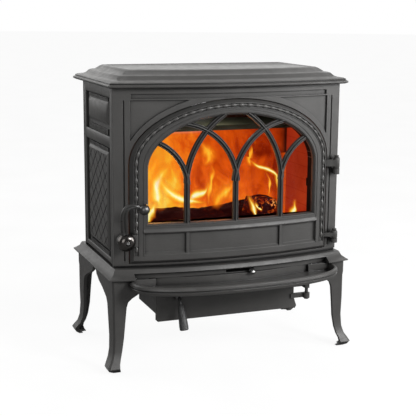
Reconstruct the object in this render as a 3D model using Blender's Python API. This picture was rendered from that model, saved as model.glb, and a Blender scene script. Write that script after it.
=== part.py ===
"""Cast-iron wood burning stove: bow-fronted body, arched glazed door, ash house, cabriole legs."""
import math

import bmesh
import bpy
from mathutils import Vector

for stale in list(bpy.data.objects):
    bpy.data.objects.remove(stale, do_unlink=True)

# ---------------------------------------------------------------- driving dimensions (metres)
GAP = 0.0003            # clearance between neighbouring pieces
BODY_HALF = 0.2914      # half width of the body
BODY_FRONT = -0.135     # front face at the corners, before the bow
BODY_BACK = 0.135
BOW = 0.039             # how far the middle of the front stands out
BOW_KNOTS = 18          # flat strips that make up the bowed front
BASE_BOTTOM = 0.222
BASE_TOP = 0.246
BODY_TOP = 0.668
TOP_HEIGHT = 0.707
FRAME_THICK = 0.012
PANEL_THICK = 0.008

TOP_HALF = 0.3055
TOP_FRONT = -0.153
TOP_BACK = 0.182
BASE_HALF = 0.3125
BASE_FRONT = -0.170
BASE_BACK = 0.180

DOOR_HALF = 0.2555      # door outline: straight sides and an elliptical head
DOOR_RISE = 0.1495
DOOR_SPRING = 0.490
DOOR_BOTTOM = 0.2565
DOOR_GAP = 0.002
DOOR_PROUD = 0.008
WINDOW_HALF = 0.219
WINDOW_RISE = 0.131
WINDOW_SPRING = 0.479
WINDOW_SILL = 0.346
GLASS_FRONT = -0.1137
GLASS_THICK = 0.004
DOOR_BACK = -0.114

MULLION_X = 0.121
MULLION_WIDTH = 0.014
RIB_WIDTH = 0.012

HINGE_X = 0.280
HINGE_Y = -0.152
KNUCKLE_R = 0.0082
PIN_R = 0.0035
HANDLE_X = -0.270
HANDLE_Z = 0.314

GRATE_Y = -0.030        # middle of the grate
BAFFLE_Z = 0.5540       # underside of the baffle over the fire

ASH_HALF = 0.178        # ash house
ASH_FRONT = -0.117
ASH_BACK = 0.036
ASH_BOTTOM = 0.113
ASH_DOOR_HALF = 0.184
ASH_DOOR_BOTTOM = 0.099
ASH_DOOR_TOP = 0.196
ASH_HINGE_X = 0.217
ASH_HINGE_Y = -0.131
ASH_HANDLE_X = -0.131
ASH_HANDLE_Z = 0.163

LEG_CORNER_X = 0.303
LEG_FRONT_Y = -0.165

FLUE_Z = 0.560
FLUE_R = 0.075
AIR_X = 0.036
AIR_Z = 0.2283
ORIGIN_SHIFT = 0.051    # moves the origin from the body's middle to the middle of the whole stove


# ---------------------------------------------------------------- materials
def material(name, colour, metallic, roughness):
    mat = bpy.data.materials.new(name)
    mat.use_nodes = True
    shader = mat.node_tree.nodes["Principled BSDF"]
    shader.inputs["Base Color"].default_value = (*colour, 1.0)
    shader.inputs["Metallic"].default_value = metallic
    shader.inputs["Roughness"].default_value = roughness
    return mat


IRON = material("matte_iron_paint", (0.085, 0.083, 0.080), 0.0, 0.62)
PLAIN_IRON = material("bare_cast_iron", (0.045, 0.043, 0.041), 0.3, 0.75)
GLASS = material("ceramic_glass", (0.85, 0.88, 0.86), 0.0, 0.05)
STEEL = material("bright_steel", (0.62, 0.62, 0.62), 1.0, 0.28)
DARK_STEEL = material("dark_plated_steel", (0.16, 0.155, 0.15), 0.9, 0.35)
GASKET = material("glass_fibre_rope", (0.16, 0.15, 0.14), 0.0, 0.9)
STONE = material("vermiculite_board", (0.42, 0.36, 0.29), 0.0, 0.9)


# ---------------------------------------------------------------- bow helpers
def bow(x, half=BODY_HALF):
    """Forward bulge of the front at x: a parabola drawn with straight strips."""
    step = 2.0 * half / BOW_KNOTS
    t = min(max((x + half) / step, 0.0), float(BOW_KNOTS))
    k = min(int(t), BOW_KNOTS - 1)
    ends = [BOW * (1.0 - ((k + j) * step / half - 1.0) ** 2) for j in (0, 1)]
    return ends[0] + (ends[1] - ends[0]) * (t - k)


def bend(obj):
    """Slice a flat-built object at the strip edges and carry it to the bowed front of the body."""
    bm = bmesh.new()
    bm.from_mesh(obj.data)
    for k in range(1, BOW_KNOTS):
        x = -BODY_HALF + k * 2.0 * BODY_HALF / BOW_KNOTS
        geom = bm.verts[:] + bm.edges[:] + bm.faces[:]
        bmesh.ops.bisect_plane(bm, geom=geom, dist=1e-6, plane_co=(x, 0, 0), plane_no=(1, 0, 0))
    for vert in bm.verts:
        vert.co.y += BODY_FRONT - bow(vert.co.x)
    bm.to_mesh(obj.data)
    bm.free()
    return obj


# ---------------------------------------------------------------- mesh helpers
def finish_mesh(name, bm, mat=None):
    bmesh.ops.remove_doubles(bm, verts=bm.verts[:], dist=1e-6)
    bmesh.ops.recalc_face_normals(bm, faces=bm.faces[:])
    mesh = bpy.data.meshes.new(name)
    bm.to_mesh(mesh)
    bm.free()
    obj = bpy.data.objects.new(name, mesh)
    if mat:
        mesh.materials.append(mat)
    bpy.context.scene.collection.objects.link(obj)
    return obj


def loft(name, loops, mat=None):
    """Closed solid through matching loops of points; the first and last loops are capped."""
    bm = bmesh.new()
    rings = [[bm.verts.new(p) for p in loop] for loop in loops]
    for low, high in zip(rings, rings[1:]):
        for i in range(len(low)):
            j = (i + 1) % len(low)
            bm.faces.new((low[i], low[j], high[j], high[i]))
    bm.faces.new(list(reversed(rings[0])))
    bm.faces.new(rings[-1])
    return finish_mesh(name, bm, mat)


def band(name, loops, mat=None):
    """Ring-shaped solid: the loops close on themselves instead of being capped."""
    bm = bmesh.new()
    rings = [[bm.verts.new(p) for p in loop] for loop in loops]
    for low, high in zip(rings, rings[1:] + rings[:1]):
        for i in range(len(low)):
            j = (i + 1) % len(low)
            bm.faces.new((low[i], low[j], high[j], high[i]))
    return finish_mesh(name, bm, mat)


def box(name, low, high, mat=None):
    x0, y0, z0 = low
    x1, y1, z1 = high
    base = [(x0, y0), (x1, y0), (x1, y1), (x0, y1)]
    return loft(name, [[(x, y, z) for x, y in base] for z in (z0, z1)], mat)


def prism_y(name, outline, y0, y1, mat=None):
    """Extrude an outline of (x, z) points along Y."""
    return loft(name, [[(x, y, z) for x, z in outline] for y in (y0, y1)], mat)


def prism_x(name, outline, x0, x1, mat=None):
    """Extrude an outline of (y, z) points along X."""
    return loft(name, [[(x, y, z) for y, z in outline] for x in (x0, x1)], mat)


def prism_z(name, outline, z0, z1, mat=None):
    """Extrude an outline of (x, y) points along Z."""
    return loft(name, [[(x, y, z) for x, y in outline] for z in (z0, z1)], mat)


def circle(radius, count, start=0.0):
    return [(radius * math.cos(start + 2.0 * math.pi * i / count),
             radius * math.sin(start + 2.0 * math.pi * i / count)) for i in range(count)]


def turned(name, axis, centre, profile, count=20, mat=None):
    """Solid of revolution; profile is (offset along the axis, radius) from one end to the other."""
    loops = []
    for offset, radius in profile:
        loop = []
        for a, b in circle(radius, count, math.pi / count):
            local = {"x": (offset, a, b), "y": (a, offset, b), "z": (a, b, offset)}[axis]
            loop.append(tuple(c + d for c, d in zip(centre, local)))
        loops.append(loop)
    return smooth(loft(name, loops, mat))


def ball(name, centre, radius, rows=8, count=16, mat=None):
    profile = []
    for i in range(rows + 1):
        angle = math.pi * i / rows
        profile.append((-radius * math.cos(angle), max(radius * math.sin(angle), radius * 0.12)))
    return turned(name, "y", centre, profile, count, mat)


def sweep(name, path, radii, count=8, mat=None, flat=1.0):
    """Round bar along a path of points; flat squeezes the section across the path's plane."""
    points = [Vector(p) for p in path]
    loops = []
    for i, point in enumerate(points):
        along = (points[min(i + 1, len(points) - 1)] - points[max(i - 1, 0)]).normalized()
        side = along.cross(Vector((0, 1, 0)))
        if side.length < 0.2:
            side = along.cross(Vector((1, 0, 0)))
        side.normalize()
        third = along.cross(side).normalized()
        loops.append([tuple(point + side * a + third * b * flat)
                      for a, b in circle(radii[i], count, math.pi / count)])
    return smooth(loft(name, loops, mat))


def smooth(obj):
    for face in obj.data.polygons:
        face.use_smooth = True
    return obj


def combine(target, other, operation):
    mod = target.modifiers.new("cut", "BOOLEAN")
    mod.operation = operation
    mod.solver = "EXACT"
    mod.object = other
    view = bpy.context.view_layer
    view.update()
    evaluated = target.evaluated_get(bpy.context.evaluated_depsgraph_get())
    mesh = bpy.data.meshes.new_from_object(evaluated)
    target.modifiers.remove(mod)
    old = target.data
    target.data = mesh
    bpy.data.meshes.remove(old)
    bpy.data.objects.remove(other, do_unlink=True)
    return target


def add(target, *others):
    for other in others:
        combine(target, other, "UNION")
    return target


def cut(target, *others):
    for other in others:
        combine(target, other, "DIFFERENCE")
    return target


def keep(target, other):
    return combine(target, other, "INTERSECT")


def done(obj, name, mat):
    """Tidy a finished node: merge stray points, face outward, one material."""
    bm = bmesh.new()
    bm.from_mesh(obj.data)
    bmesh.ops.remove_doubles(bm, verts=bm.verts[:], dist=2e-6)
    bmesh.ops.dissolve_degenerate(bm, dist=1e-6, edges=bm.edges[:])
    bmesh.ops.recalc_face_normals(bm, faces=bm.faces[:])
    bm.to_mesh(obj.data)
    bm.free()
    obj.name = name
    obj.data.name = name
    obj.data.materials.clear()
    obj.data.materials.append(mat)
    return obj


def set_origin(obj, point):
    """Put the object's origin on its joint axis without moving its shape."""
    offset = Vector(point)
    for vert in obj.data.vertices:
        vert.co -= offset
    obj.location = offset
    return obj


# ---------------------------------------------------------------- outlines
def arch(half, rise, spring, bottom, count=28):
    """Straight-sided outline with an elliptical head, as (x, z) points."""
    head = []
    for i in range(count + 1):
        angle = math.pi * i / count
        head.append((half * math.cos(angle), spring + rise * math.sin(angle)))
    return [(half, bottom)] + head + [(-half, bottom)]


def bowed_loop(half, front, back, z, reach=1.0, count=BOW_KNOTS):
    """Rectangular loop whose front edge follows the bow."""
    loop = []
    for i in range(count + 1):
        t = -1.0 + 2.0 * i / count
        loop.append((t * half, front - BOW * reach * (1.0 - t * t), z))
    return loop + [(half, back, z), (-half, back, z)]


def stepped(profile, half, front, back):
    """Loops of a moulded plate from (inset, z) pairs."""
    return [bowed_loop(half - d, front + d, back - d, z) for d, z in profile]


# ---------------------------------------------------------------- top plate
def build_top_plate():
    profile = [(0.064, 0.700), (0.050, 0.6905), (0.0405, 0.689), (0.040, BODY_TOP),
               (0.006, BODY_TOP), (0.0, 0.671), (0.0, 0.6745),
               (0.005, 0.6775), (0.004, 0.6795), (0.009, 0.6825), (0.021, 0.6845), (0.027, 0.687),
               (0.033, 0.6935), (0.038, 0.6955), (0.046, 0.697), (0.055, 0.704), (0.061, TOP_HEIGHT),
               (0.067, TOP_HEIGHT), (0.069, TOP_HEIGHT - 0.0012)]
    return done(loft("top", stepped(profile, TOP_HALF, TOP_FRONT, TOP_BACK)), "top_plate", IRON)


# ---------------------------------------------------------------- base
def build_base_plate():
    profile = [(0.004, BASE_BOTTOM), (0.0, 0.2235), (0.0, 0.2265), (0.004, 0.2285), (0.013, 0.2355),
               (0.0165, 0.243), (0.0185, BASE_TOP)]
    base = loft("base", stepped(profile, BASE_HALF, BASE_FRONT, BASE_BACK))
    front_void = bend(box("void", (-0.252, -0.080, 0.200), (0.252, -0.012, 0.2365)))
    cut(base, front_void)
    cut(base, box("pocket", (-0.205, ASH_FRONT - 0.002, 0.200), (0.205, 0.140, 0.2357)))
    cut(base, box("air_box", (-0.090, -0.158, 0.200), (0.090, -0.128, 0.2357)))
    cut(base, box("ash_drop", (-0.130, GRATE_Y - 0.048, 0.200), (0.130, GRATE_Y + 0.048, 0.300)))
    cut(base, box("grate_seat", (-0.140, GRATE_Y - 0.058, 0.2407), (0.140, GRATE_Y + 0.058, 0.300)))
    cut(base, box("air_port", (-0.060, -0.150, 0.200), (0.060, -0.140, 0.300)))
    cut(base, box("lever_slot", (AIR_X - 0.0635, -0.250, AIR_Z - 0.0035),
                  (AIR_X + 0.0085, -0.150, AIR_Z + 0.0035)))
    return done(base, "base_plate", IRON)


def leg_loop(step, wide, deep, thick, z):
    """L-shaped section of the front left leg, outer corner first, walls on the front and the side."""
    c = 0.004
    x0 = -LEG_CORNER_X - step
    y0 = LEG_FRONT_Y - step
    loop = [(x0, y0 + c), (x0 + c, y0), (x0 + wide, y0), (x0 + wide, y0 + thick),
            (x0 + thick + c, y0 + thick), (x0 + thick, y0 + thick + c), (x0 + thick, y0 + deep),
            (x0, y0 + deep)]
    return [(x, y, z) for x, y in loop]


def build_leg(name, side, front):
    """Cabriole leg: height, outward step, front width, side depth, wall thickness."""
    stations = [(0.0, 0.006, 0.022, 0.024, 0.0100), (0.005, 0.014, 0.027, 0.031, 0.0110),
                (0.012, 0.018, 0.029, 0.035, 0.0105), (0.021, 0.013, 0.025, 0.036, 0.0095),
                (0.032, 0.006, 0.022, 0.037, 0.0090), (0.050, 0.001, 0.022, 0.038, 0.0080),
                (0.080, -0.001, 0.025, 0.041, 0.0080), (0.125, 0.000, 0.030, 0.046, 0.0080),
                (0.156, 0.000, 0.033, 0.052, 0.0080), (0.168, 0.000, 0.037, 0.061, 0.0080),
                (0.176, 0.000, 0.046, 0.078, 0.0080), (0.184, 0.000, 0.060, 0.097, 0.0080),
                (0.194, 0.001, 0.074, 0.125, 0.0080), (0.205, 0.001, 0.084, 0.147, 0.0080),
                (BASE_BOTTOM - GAP, 0.001, 0.088, 0.157, 0.0080)]
    leg = loft(name, [leg_loop(step, wide, deep, thick, z) for z, step, wide, deep, thick in stations])
    for vert in leg.data.vertices:
        if side > 0:
            vert.co.x = -vert.co.x
        if not front:
            vert.co.y = -vert.co.y
    return done(leg, name, IRON)


def build_ash_lip():
    """Curved tray with a two-step rim, hung under the front of the base."""
    profile = [(0.012, 0.1985), (0.004, 0.2015), (0.001, 0.208), (0.0035, 0.2105), (0.0, 0.213),
               (0.001, 0.2185), (0.004, 0.2215), (0.008, 0.2215), (0.0105, 0.219), (0.011, 0.2055),
               (0.018, 0.2035)]
    loops = []
    for inset, z in profile:
        a = 0.266 - inset
        b = 0.102 - inset
        loop = []
        for i in range(49):
            angle = math.pi * i / 48
            x = a * math.copysign(abs(math.cos(angle)) ** (2 / 2.4), math.cos(angle))
            y = b * math.sin(angle) ** (2 / 2.4)
            loop.append((x, -0.184 - y, z))
        loop += [(-a, -0.130 - inset, z), (a, -0.130 - inset, z)]
        loops.append(loop)
    lip = loft("lip", loops)
    wall = [bowed_loop(0.230, BASE_FRONT + 0.016, -0.140, z) for z in (0.2025, BASE_BOTTOM - GAP)]
    add(lip, loft("wall", wall))
    cut(lip, box("far", (-0.300, -0.142, 0.190), (0.300, -0.060, 0.230)))
    for x0, x1 in ((-0.300, -0.2155), (0.2155, 0.300)):
        cut(lip, box("leg_room", (x0, LEG_FRONT_Y - 0.003, 0.190), (x1, -0.060, 0.230)))
    for side in (-1, 1):
        x0, x1 = sorted((side * 0.2000, side * 0.2560))
        add(lip, box("cheek", (x0, -0.1720, 0.2030), (x1, -0.1683, BASE_BOTTOM - 0.0005)))
    return done(lip, "ash_lip", IRON)


# ---------------------------------------------------------------- body shell
def build_front_frame():
    z0, z1 = BASE_TOP + GAP, BODY_TOP - GAP
    frame = prism_y("frame", [(-BODY_HALF, z0), (BODY_HALF, z0), (BODY_HALF, z1), (-BODY_HALF, z1)],
                    0.0, FRAME_THICK)
    opening = arch(DOOR_HALF + DOOR_GAP, DOOR_RISE + DOOR_GAP, DOOR_SPRING, DOOR_BOTTOM - 0.001)
    cut(frame, prism_y("opening", opening, -0.05, 0.05))
    cut(frame, box("frieze", (-0.250, -0.010, 0.6435), (0.250, 0.0045, 0.6545)))
    ring = arch(0.2685, 0.1655, DOOR_SPRING, 0.300)
    field = box("field", (-0.2525, -0.010, 0.520), (0.2525, 0.0042, 0.6400))
    cut(field, prism_y("ring", ring, -0.06, 0.06))
    cut(frame, field)
    for side in (-1, 1):
        x0, x1 = sorted((side * 0.2655, side * 0.2685))
        cut(frame, box("groove", (x0, -0.010, 0.262), (x1, 0.0035, 0.640)))
    cut(frame, box("shadow_line", (-0.300, -0.010, 0.240), (0.300, 0.0050, 0.2505)))
    bend(frame)
    for low, high in ((0.444, 0.4585), (0.2690, 0.2795)):
        lug = turned("lug", "z", (HINGE_X, HINGE_Y, 0.0), [(low, KNUCKLE_R), (high, KNUCKLE_R)], 20)
        web = box("web", (HINGE_X - 0.0055, HINGE_Y, low + 0.0008),
                  (HINGE_X + 0.0055, -0.131, high - 0.0008))
        add(lug, web)
        add(frame, lug)
        cut(frame, turned("bore", "z", (HINGE_X, HINGE_Y, 0.0),
                          [(low - 0.01, PIN_R + GAP), (high + 0.01, PIN_R + GAP)], 16))
    return done(frame, "front_frame", IRON)


def clip_outline(points, inside, cross):
    out = []
    for i, p in enumerate(points):
        q = points[(i + 1) % len(points)]
        if inside(p):
            out.append(p)
        if inside(p) != inside(q):
            out.append(cross(p, q))
    return out


def clip_rect(points, y0, y1, z0, z1):
    """Clip an outline of (y, z) points to a rectangle."""
    def at(p, q, axis, value):
        t = (value - p[axis]) / (q[axis] - p[axis])
        return tuple(a + (b - a) * t for a, b in zip(p, q))
    for axis, value, sign in ((0, y0, 1), (0, y1, -1), (1, z0, 1), (1, z1, -1)):
        points = clip_outline(points, lambda p: (p[axis] - value) * sign > 0,
                              lambda p, q: at(p, q, axis, value))
        if len(points) < 3:
            return []
    return points


def build_side_panel(name, side):
    """Cast side: thin web with posts, rails, and raised fields, the lower one scored with diamonds."""
    z0, z1 = BASE_TOP + GAP, BODY_TOP - GAP
    y0, y1 = BODY_FRONT + FRAME_THICK + GAP, BODY_BACK - PANEL_THICK - GAP
    face = BODY_HALF
    web = face - 0.0075
    panel = box(name, (face - PANEL_THICK - 0.0035, y0, z0), (web, y1, z1))

    def raised(low_y, high_y, low_z, high_z, height=face, edge=0.004):
        loops = []
        for x, inset in ((web - 0.002, 0.0), (height - edge * 0.6, 0.0), (height, edge)):
            loops.append([(x, low_y + inset, low_z + inset), (x, high_y - inset, low_z + inset),
                          (x, high_y - inset, high_z - inset), (x, low_y + inset, high_z - inset)])
        return loft("raised", loops)

    def teeth(low_z, high_z, count=15):
        start, end = -0.086, 0.088
        pitch = (end - start) / count
        outline = [(start, low_z - 0.001)]
        for i in range(count):
            left = start + i * pitch
            outline += [(left, high_z), (left + pitch * 0.6, high_z)]
            if i < count - 1:
                outline += [(left + pitch * 0.6, low_z), (left + pitch, low_z)]
        outline.append((start + (count - 1) * pitch + pitch * 0.6, low_z - 0.001))
        return prism_x("teeth", outline, web - 0.001, face - 0.0022)

    add(panel, raised(y0, -0.107, z0 + 0.0045, z1, edge=0.002))
    add(panel, raised(0.110, y1, z0 + 0.0045, z1, edge=0.002))
    add(panel, raised(y0 + 0.004, y1 - 0.004, 0.6440, z1, edge=0.003))
    add(panel, raised(y0 + 0.004, y1 - 0.004, z0 + 0.0045, 0.2640, edge=0.003))
    add(panel, raised(-0.109, 0.112, 0.5270, 0.5530, edge=0.003))
    add(panel, raised(-0.086, 0.088, 0.5775, 0.6330, edge=0.009))
    add(panel, teeth(0.6345, 0.6415), teeth(0.5560, 0.5680), teeth(0.5165, 0.5245), teeth(0.2670, 0.2745))

    low_y, high_y, low_z, high_z = -0.086, 0.090, 0.2775, 0.5140
    add(panel, raised(low_y, high_y, low_z, high_z, face - 0.0004, edge=0.007))
    pitch_y, pitch_z = (high_y - low_y) / 4, 0.039
    slope = pitch_z / pitch_y
    width = 0.0030 * math.hypot(1.0, slope)
    for direction in (1, -1):
        depth = 0.0030 if direction > 0 else 0.0032
        for k in range(-4, 11):
            base_z = low_z + k * pitch_z if direction > 0 else low_z + (k + 4) * pitch_z
            reach = high_y - low_y
            line = [(low_y, base_z - width / 2), (high_y, base_z - width / 2 + direction * slope * reach),
                    (high_y, base_z + width / 2 + direction * slope * reach), (low_y, base_z + width / 2)]
            line = clip_rect(line, low_y + 0.008, high_y - 0.008, low_z + 0.008, high_z - 0.008)
            if len(line) > 2:
                cut(panel, prism_x("groove", line, face - depth, face + 0.010))
    if side < 0:
        for vert in panel.data.vertices:
            vert.co.x = -vert.co.x
    return done(panel, name, IRON)


def build_back_plate():
    back = box("back", (-BODY_HALF, BODY_BACK - PANEL_THICK, BASE_TOP + GAP),
               (BODY_HALF, BODY_BACK, BODY_TOP - GAP))
    ring = turned("flue_bore", "y", (0, 0, FLUE_Z), [(-0.2, FLUE_R - 0.004), (0.2, FLUE_R - 0.004)], 32)
    cut(back, ring)
    return done(back, "back_plate", PLAIN_IRON)


def tube(name, axis, centre, rings, count, mat):
    """Ring of revolution; rings are (offset, radius) pairs round its section."""
    loops = []
    for offset, radius in rings:
        loop = []
        for a, b in circle(radius, count, math.pi / count):
            local = {"x": (offset, a, b), "y": (a, offset, b), "z": (a, b, offset)}[axis]
            loop.append(tuple(c + d for c, d in zip(centre, local)))
        loops.append(loop)
    return done(smooth(band(name, loops)), name, mat)


def build_flue_collar():
    y = BODY_BACK + GAP
    rings = [(y, FLUE_R - 0.004), (y, FLUE_R + 0.016), (y + 0.005, FLUE_R + 0.016),
             (y + 0.008, FLUE_R + 0.002), (BASE_BACK + 0.004, FLUE_R), (BASE_BACK + 0.004, FLUE_R - 0.005)]
    return tube("flue_collar", "y", (0, 0, FLUE_Z), rings, 32, PLAIN_IRON)


# ---------------------------------------------------------------- door
def build_door():
    outer = arch(DOOR_HALF, DOOR_RISE, DOOR_SPRING, DOOR_BOTTOM)
    inner = arch(DOOR_HALF - 0.007, DOOR_RISE - 0.0065, DOOR_SPRING, DOOR_BOTTOM + 0.007)
    loops = [[(x, 0.010, z) for x, z in outer], [(x, 0.0, z) for x, z in outer],
             [(x, -DOOR_PROUD, z) for x, z in inner]]
    door = loft("door", loops)
    reveal = arch(WINDOW_HALF + 0.014, WINDOW_RISE + 0.014, WINDOW_SPRING, WINDOW_SILL - 0.016)
    add(door, prism_y("reveal", reveal, -0.002, 0.066))
    window = arch(WINDOW_HALF, WINDOW_RISE, WINDOW_SPRING, WINDOW_SILL)
    cut(door, prism_y("window", window, -0.1, 0.2))
    panel = [(-0.2255, 0.2770), (0.2255, 0.2770), (0.2255, 0.3290), (-0.2255, 0.3290)]
    field = [(-0.2215, 0.2830), (0.2215, 0.2830), (0.2215, 0.3265), (-0.2215, 0.3265)]
    cut(door, loft("panel", [[(x, -0.02, z) for x, z in panel],
                             [(x, -DOOR_PROUD - 0.0001, z) for x, z in panel],
                             [(x, -0.002, z) for x, z in field]]))
    for x in (-MULLION_X, MULLION_X):
        add(door, box("rib", (x - 0.0038, -0.0068, 0.278), (x + 0.0038, 0.001, 0.3280)))
    channel = arch(DOOR_HALF - 0.0085, DOOR_RISE - 0.0080, DOOR_SPRING, 0.2760)
    channel_core = arch(DOOR_HALF - 0.0185, DOOR_RISE - 0.0175, DOOR_SPRING, 0.2400)
    ring = prism_y("channel", channel, -0.030, -DOOR_PROUD + 0.0020)
    cut(ring, prism_y("core", channel_core, -0.060, 0.030))
    cut(door, ring)
    bend(door)
    cut(door, box("back_face", (-0.4, DOOR_BACK, 0.2), (0.4, 0.0, 0.8)))
    for low, high in ((0.459, 0.487), (0.280, 0.3005)):
        knuckle = turned("knuckle", "z", (HINGE_X, HINGE_Y, 0.0),
                         [(low, KNUCKLE_R - 0.0012), (low + 0.0025, KNUCKLE_R), (high - 0.0045, KNUCKLE_R),
                          (high - 0.0015, KNUCKLE_R - 0.0012), (high, KNUCKLE_R - 0.0032)], 20)
        outline = [(0.2440, -0.1490), (0.2520, -0.1530), (0.2640, -0.1565), (HINGE_X, -0.1590),
                   (HINGE_X, -0.1465), (0.2560, -0.1462), (0.2440, -0.1440)]
        arm = prism_z("arm", outline, low + 0.005, high - 0.006)
        add(knuckle, arm)
        add(door, knuckle)
        cut(door, turned("bore", "z", (HINGE_X, HINGE_Y, 0.0),
                         [(low - 0.01, PIN_R + GAP), (high + 0.01, PIN_R + GAP)], 16))
    ear = turned("ear", "y", (HANDLE_X, 0.0, HANDLE_Z), [(-0.1650, 0.0175), (-0.1450, 0.0175)], 24)
    add(ear, box("ear_root", (HANDLE_X, -0.1630, HANDLE_Z - 0.014), (-0.2400, -0.1450, HANDLE_Z + 0.014)))
    add(door, ear)
    cut(door, turned("shaft_bore", "y", (HANDLE_X, 0.0, HANDLE_Z), [(-0.18, 0.0053), (-0.140, 0.0053)], 16))
    cut(door, box("cam_pocket", (HANDLE_X - 0.012, -0.1525, HANDLE_Z - 0.0115),
                  (HANDLE_X + 0.012, -0.1400, HANDLE_Z + 0.0115)))
    return set_origin(done(door, "door", IRON), (HINGE_X, HINGE_Y, DOOR_BOTTOM))


def rib(centre, radius, start, end, count=14, width=RIB_WIDTH):
    """Thick arc as an outline of (x, z) points; angles in degrees."""
    outer, inner = [], []
    for i in range(count + 1):
        angle = math.radians(start + (end - start) * i / count)
        c, s = math.cos(angle), math.sin(angle)
        outer.append((centre[0] + (radius + width / 2) * c, centre[1] + (radius + width / 2) * s))
        inner.append((centre[0] + (radius - width / 2) * c, centre[1] + (radius - width / 2) * s))
    return outer + inner[::-1]


def build_tracery():
    """Mullions and intersecting pointed arcs that fill the arched window."""
    edge = 0.0006
    rim_outer = arch(WINDOW_HALF - edge, WINDOW_RISE - edge, WINDOW_SPRING, WINDOW_SILL + edge)
    rim_inner = arch(WINDOW_HALF - 0.0050, WINDOW_RISE - 0.0050, WINDOW_SPRING, WINDOW_SILL + 0.0055)
    rim = band("rim", [[(x, y, z) for x, z in outline]
                       for outline, y in ((rim_outer, -0.004), (rim_outer, 0.006),
                                          (rim_inner, 0.006), (rim_inner, -0.004))])
    arcs = []
    for sign in (-1, 1):
        wide = rib((-0.080, 0.435), 0.203, 6, 84)
        inner = rib((0.148, 0.435), 0.152, 170, 70)
        outer = rib((0.238, 0.433), 0.119, 172, 95)
        arcs += [[(sign * x, z) for x, z in outline] for outline in (wide, inner, outer)]
    web = None
    for i, outline in enumerate(arcs):
        bar = prism_y("arc", outline, -0.0052 + 0.0002 * i, 0.0052 - 0.0002 * i)
        web = bar if web is None else add(web, bar)
    for x in (-MULLION_X, 0.0, MULLION_X):
        half = MULLION_WIDTH / 2
        profile = [(x - half, 0.004), (x - half, -0.003), (x - 0.002, -0.0068), (x + 0.002, -0.0068),
                   (x + half, -0.003), (x + half, 0.004)]
        add(web, prism_z("mullion", profile, WINDOW_SILL - 0.01, 0.4760))
    keep(web, prism_y("inside", rim_outer, -0.05, 0.05))
    add(web, rim)
    bend(web)
    return done(web, "door_tracery", IRON)


def build_door_glass():
    outline = arch(WINDOW_HALF + 0.009, WINDOW_RISE + 0.009, WINDOW_SPRING, WINDOW_SILL - 0.009)
    glass = prism_y("glass", outline, GLASS_FRONT + 0.0023, GLASS_FRONT + 0.0023 + GLASS_THICK)
    return done(glass, "door_glass", GLASS)


def build_glass_gasket():
    outer = arch(WINDOW_HALF + 0.010, WINDOW_RISE + 0.010, WINDOW_SPRING, WINDOW_SILL - 0.010)
    inner = arch(WINDOW_HALF + 0.002, WINDOW_RISE + 0.002, WINDOW_SPRING, WINDOW_SILL - 0.002)
    loops = [[(x, y, z) for x, z in outline]
             for outline, y in ((outer, GLASS_FRONT), (outer, GLASS_FRONT + 0.0020),
                                (inner, GLASS_FRONT + 0.0020), (inner, GLASS_FRONT))]
    return done(band("gasket", loops), "glass_gasket", GASKET)


def build_glass_clip(name, x, z, turn):
    """Z-shaped spring clip: foot on the door, tongue on the glass."""
    y = GLASS_FRONT
    foot, rise = 0.0100, 0.0079
    outline = [(0.0, y), (foot * 0.6, y), (foot * 0.6, y + 0.0013), (0.0013, y + 0.0013),
               (0.0013, y + rise), (-0.0095, y + rise), (-0.0095, y + rise - 0.0013),
               (0.0, y + rise - 0.0013)]
    c, s = math.cos(turn), math.sin(turn)
    loops = []
    for w in (-0.010, 0.010):
        loops.append([(x + u * c - w * s, v, z + u * s + w * c) for u, v in outline])
    return done(loft(name, loops), name, DARK_STEEL)


def build_door_handle():
    """Domed hub with a gooseneck lever rising from it; one casting."""
    hub = turned("hub", "y", (HANDLE_X, 0.0, HANDLE_Z),
                 [(-0.1655, 0.0205), (-0.1690, 0.0215), (-0.1735, 0.0208), (-0.1780, 0.0180),
                  (-0.1815, 0.0135), (-0.1830, 0.0080)], 28)
    path = [(HANDLE_X - 0.001, -0.1750, HANDLE_Z + 0.008), (HANDLE_X - 0.005, -0.1790, HANDLE_Z + 0.024),
            (HANDLE_X - 0.009, -0.1850, HANDLE_Z + 0.042), (HANDLE_X - 0.012, -0.1900, HANDLE_Z + 0.060),
            (HANDLE_X - 0.012, -0.1940, HANDLE_Z + 0.074), (HANDLE_X - 0.008, -0.1965, HANDLE_Z + 0.084),
            (HANDLE_X + 0.001, -0.1985, HANDLE_Z + 0.0895), (HANDLE_X + 0.011, -0.2000, HANDLE_Z + 0.0905),
            (HANDLE_X + 0.0205, -0.2000, HANDLE_Z + 0.0875)]
    lever = sweep("lever", path, [0.0090, 0.0095, 0.0092, 0.0088, 0.0082, 0.0072, 0.0062, 0.0052, 0.0045],
                  10, None, 0.75)
    add(hub, lever)
    shaft = turned("shaft", "y", (HANDLE_X, 0.0, HANDLE_Z), [(-0.170, 0.0050), (-0.1523, 0.0050)], 16)
    add(hub, shaft)
    cut(hub, turned("recess", "y", (HANDLE_X, 0.0, HANDLE_Z), [(-0.20, 0.0048), (-0.1790, 0.0048)], 20))
    return set_origin(done(hub, "door_handle", DARK_STEEL), (HANDLE_X, -0.1655, HANDLE_Z))


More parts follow.
